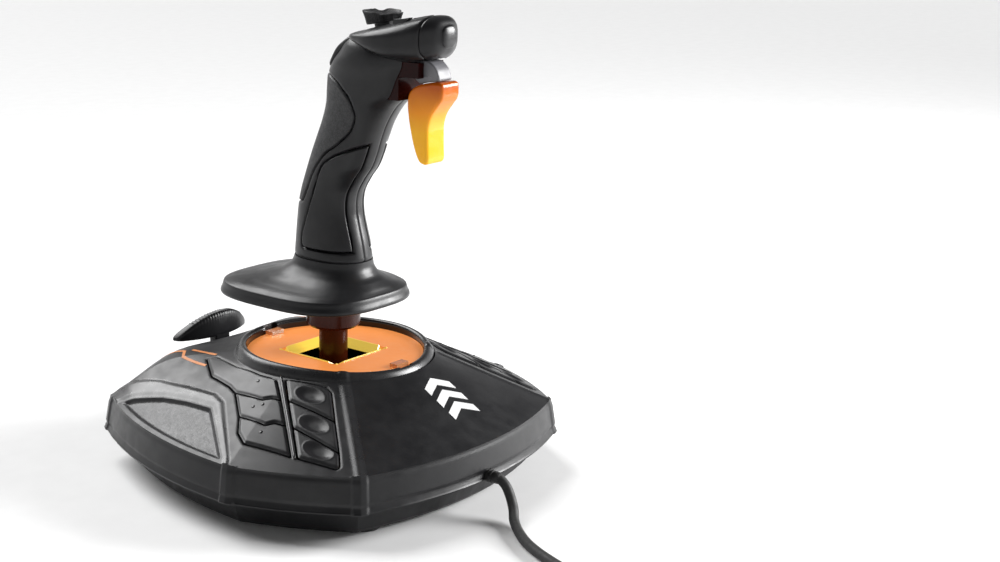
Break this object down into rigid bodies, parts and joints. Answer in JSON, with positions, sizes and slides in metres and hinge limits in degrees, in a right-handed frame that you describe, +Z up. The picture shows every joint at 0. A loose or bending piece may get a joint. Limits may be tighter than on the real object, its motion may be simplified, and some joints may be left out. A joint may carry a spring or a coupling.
{
  "type": "flight joystick",
  "caption": "Desktop flight joystick: contoured grip with hat switch, thumb buttons and trigger on a hand rest, tilting and twisting in a six-sided base with side buttons and a rear slider.",
  "frame": {"origin": "on the desk surface under the rubber feet, on the upright stick's axis", "axes": "+X to the user's right, +Y away from the user, +Z up"},
  "size_m": [0.2319, 0.3296, 0.2168],
  "materials": {
    "black_satin_plastic": "fine satin moulded texture",
    "black_gloss_plastic": "polished",
    "dark_lower_plastic": "satin moulded texture",
    "glow_plastic": "semi-gloss translucent orange",
    "bezel_plastic": "glossy translucent yellow",
    "clear_plastic": "clear moulded plastic",
    "amber_plastic": "glossy translucent dark amber",
    "trigger_plastic": "glossy translucent orange",
    "grey_plastic": "ribbed grey plastic",
    "pad_plastic": "grained matte",
    "rubber_black": "matte rubber",
    "steel": "plain steel",
    "circuit_board": "green solder mask",
    "mark_white": "printed white",
    "stripe_orange": "printed orange"
  },
  "bodies": {
    "base": {"base_top_cover": "black_satin_plastic", "base_bottom_cover": "dark_lower_plastic", "glow_plate": "glow_plastic", "hole_bezel": "bezel_plastic", "lens_tabs": "clear_plastic", "gimbal_housing": "dark_lower_plastic", "main_circuit_board": "circuit_board", "sensor_board": "circuit_board", "button_boards": "circuit_board", "button_switches": "dark_lower_plastic", "slider_potentiometer": "dark_lower_plastic", "ballast_plate": "steel", "rubber_feet": "rubber_black", "bottom_screws": "steel", "cable_gland": "rubber_black", "front_emblem": "mark_white", "side_stripes": "stripe_orange", "roll_springs": "steel", "cord_run": "rubber_black", "cord_coil": "rubber_black", "cord_tail": "rubber_black", "usb_plug": "rubber_black"},
    "gimbal_ring": {"gimbal_ring": "dark_lower_plastic", "pitch_springs": "steel"},
    "gimbal_hub": {"gimbal_hub": "dark_lower_plastic", "twist_sensor": "dark_lower_plastic", "sensor_magnet": "steel"},
    "stick": {"stick_shaft": "amber_plastic", "retaining_ring": "steel", "shaft_collar": "amber_plastic", "hand_rest": "black_satin_plastic", "grip_left_shell": "black_satin_plastic", "grip_right_shell": "black_satin_plastic", "palm_pad": "pad_plastic", "right_side_rest": "black_satin_plastic", "left_side_rest": "black_satin_plastic", "head_shell": "black_satin_plastic", "head_nose": "black_satin_plastic", "head_circuit_board": "circuit_board", "trigger_housing": "black_gloss_plastic"},
    "throttle_lever": {"throttle_lever": "black_satin_plastic"},
    "trigger": {"trigger_blade": "trigger_plastic", "trigger_arm": "grey_plastic"},
    "hat_rocker": {"hat_rocker": "dark_lower_plastic"},
    "hat": {"hat_cap": "pad_plastic"},
    "head_left_button": {"head_left_button": "black_gloss_plastic"},
    "head_right_button": {"head_right_button": "black_gloss_plastic"},
    "head_rear_button": {"head_rear_button": "black_satin_plastic"},
    "right_rear_button_1": {"right_rear_button_1": "black_satin_plastic"},
    "right_rear_button_2": {"right_rear_button_2": "black_satin_plastic"},
    "right_rear_button_3": {"right_rear_button_3": "black_satin_plastic"},
    "right_front_button_1": {"right_front_button_1": "black_satin_plastic"},
    "right_front_button_2": {"right_front_button_2": "black_satin_plastic"},
    "right_front_button_3": {"right_front_button_3": "black_satin_plastic"},
    "left_rear_button_1": {"left_rear_button_1": "black_satin_plastic"},
    "left_rear_button_2": {"left_rear_button_2": "black_satin_plastic"},
    "left_rear_button_3": {"left_rear_button_3": "black_satin_plastic"},
    "left_front_button_1": {"left_front_button_1": "black_satin_plastic"},
    "left_front_button_2": {"left_front_button_2": "black_satin_plastic"},
    "left_front_button_3": {"left_front_button_3": "black_satin_plastic"}
  },
  "joints": [
    {"name": "stick_roll", "type": "hinge", "parent": "base", "child": "gimbal_ring", "pos_m": [0, 0, 0.03], "axis": [0, 1, 0], "range_deg": [-14, 14], "stiffness_Nm_per_rad": 2},
    {"name": "stick_pitch", "type": "hinge", "parent": "gimbal_ring", "child": "gimbal_hub", "pos_m": [0, 0, 0.03], "axis": [1, 0, 0], "range_deg": [-14, 14], "stiffness_Nm_per_rad": 2},
    {"name": "stick_twist", "type": "hinge", "parent": "gimbal_hub", "child": "stick", "pos_m": [0, 0, 0.03], "axis": [0, 0, 1], "range_deg": [-12, 12], "stiffness_Nm_per_rad": 0.6},
    {"name": "throttle_slide", "type": "slide", "parent": "base", "child": "throttle_lever", "axis": [0, 0.8785, 0.4778], "range_m": [-0.008, 0.006]},
    {"name": "trigger_pull", "type": "hinge", "parent": "stick", "child": "trigger", "pos_m": [0, 0.053, 0.1934], "axis": [-1, 0, 0], "range_deg": [0, 7], "stiffness_Nm_per_rad": 0.8, "springref_deg": -8.59},
    {"name": "hat_pitch", "type": "hinge", "parent": "stick", "child": "hat_rocker", "pos_m": [0, 0.0304, 0.2062], "axis": [1, 0, 0], "range_deg": [-6, 6], "stiffness_Nm_per_rad": 0.15},
    {"name": "hat_roll", "type": "hinge", "parent": "hat_rocker", "child": "hat", "pos_m": [0, 0.0304, 0.2062], "axis": [0, 1, 0], "range_deg": [-6, 6], "stiffness_Nm_per_rad": 0.15},
    {"name": "head_left_press", "type": "slide", "parent": "stick", "child": "head_left_button", "axis": [0, 0, -1], "range_m": [0, 0.0008], "stiffness_N_per_m": 600, "springref_m": -0.001},
    {"name": "head_right_press", "type": "slide", "parent": "stick", "child": "head_right_button", "axis": [0, 0, -1], "range_m": [0, 0.0008], "stiffness_N_per_m": 600, "springref_m": -0.001},
    {"name": "head_rear_press", "type": "slide", "parent": "stick", "child": "head_rear_button", "axis": [0, 0.7507, -0.6606], "range_m": [0, 0.001], "stiffness_N_per_m": 600, "springref_m": -0.001},
    {"name": "right_rear_press_1", "type": "slide", "parent": "base", "child": "right_rear_button_1", "axis": [0, 0, -1], "range_m": [0, 0.0012], "stiffness_N_per_m": 500, "springref_m": -0.001},
    {"name": "right_rear_press_2", "type": "slide", "parent": "base", "child": "right_rear_button_2", "axis": [0, 0, -1], "range_m": [0, 0.0012], "stiffness_N_per_m": 500, "springref_m": -0.001},
    {"name": "right_rear_press_3", "type": "slide", "parent": "base", "child": "right_rear_button_3", "axis": [0, 0, -1], "range_m": [0, 0.0012], "stiffness_N_per_m": 500, "springref_m": -0.001},
    {"name": "right_front_press_1", "type": "slide", "parent": "base", "child": "right_front_button_1", "axis": [0, 0, -1], "range_m": [0, 0.0012], "stiffness_N_per_m": 500, "springref_m": -0.001},
    {"name": "right_front_press_2", "type": "slide", "parent": "base", "child": "right_front_button_2", "axis": [0, 0, -1], "range_m": [0, 0.0012], "stiffness_N_per_m": 500, "springref_m": -0.001},
    {"name": "right_front_press_3", "type": "slide", "parent": "base", "child": "right_front_button_3", "axis": [0, 0, -1], "range_m": [0, 0.0012], "stiffness_N_per_m": 500, "springref_m": -0.001},
    {"name": "left_rear_press_1", "type": "slide", "parent": "base", "child": "left_rear_button_1", "axis": [0, 0, -1], "range_m": [0, 0.0012], "stiffness_N_per_m": 500, "springref_m": -0.001},
    {"name": "left_rear_press_2", "type": "slide", "parent": "base", "child": "left_rear_button_2", "axis": [0, 0, -1], "range_m": [0, 0.0012], "stiffness_N_per_m": 500, "springref_m": -0.001},
    {"name": "left_rear_press_3", "type": "slide", "parent": "base", "child": "left_rear_button_3", "axis": [0, 0, -1], "range_m": [0, 0.0012], "stiffness_N_per_m": 500, "springref_m": -0.001},
    {"name": "left_front_press_1", "type": "slide", "parent": "base", "child": "left_front_button_1", "axis": [0, 0, -1], "range_m": [0, 0.0012], "stiffness_N_per_m": 500, "springref_m": -0.001},
    {"name": "left_front_press_2", "type": "slide", "parent": "base", "child": "left_front_button_2", "axis": [0, 0, -1], "range_m": [0, 0.0012], "stiffness_N_per_m": 500, "springref_m": -0.001},
    {"name": "left_front_press_3", "type": "slide", "parent": "base", "child": "left_front_button_3", "axis": [0, 0, -1], "range_m": [0, 0.0012], "stiffness_N_per_m": 500, "springref_m": -0.001}
  ]
}
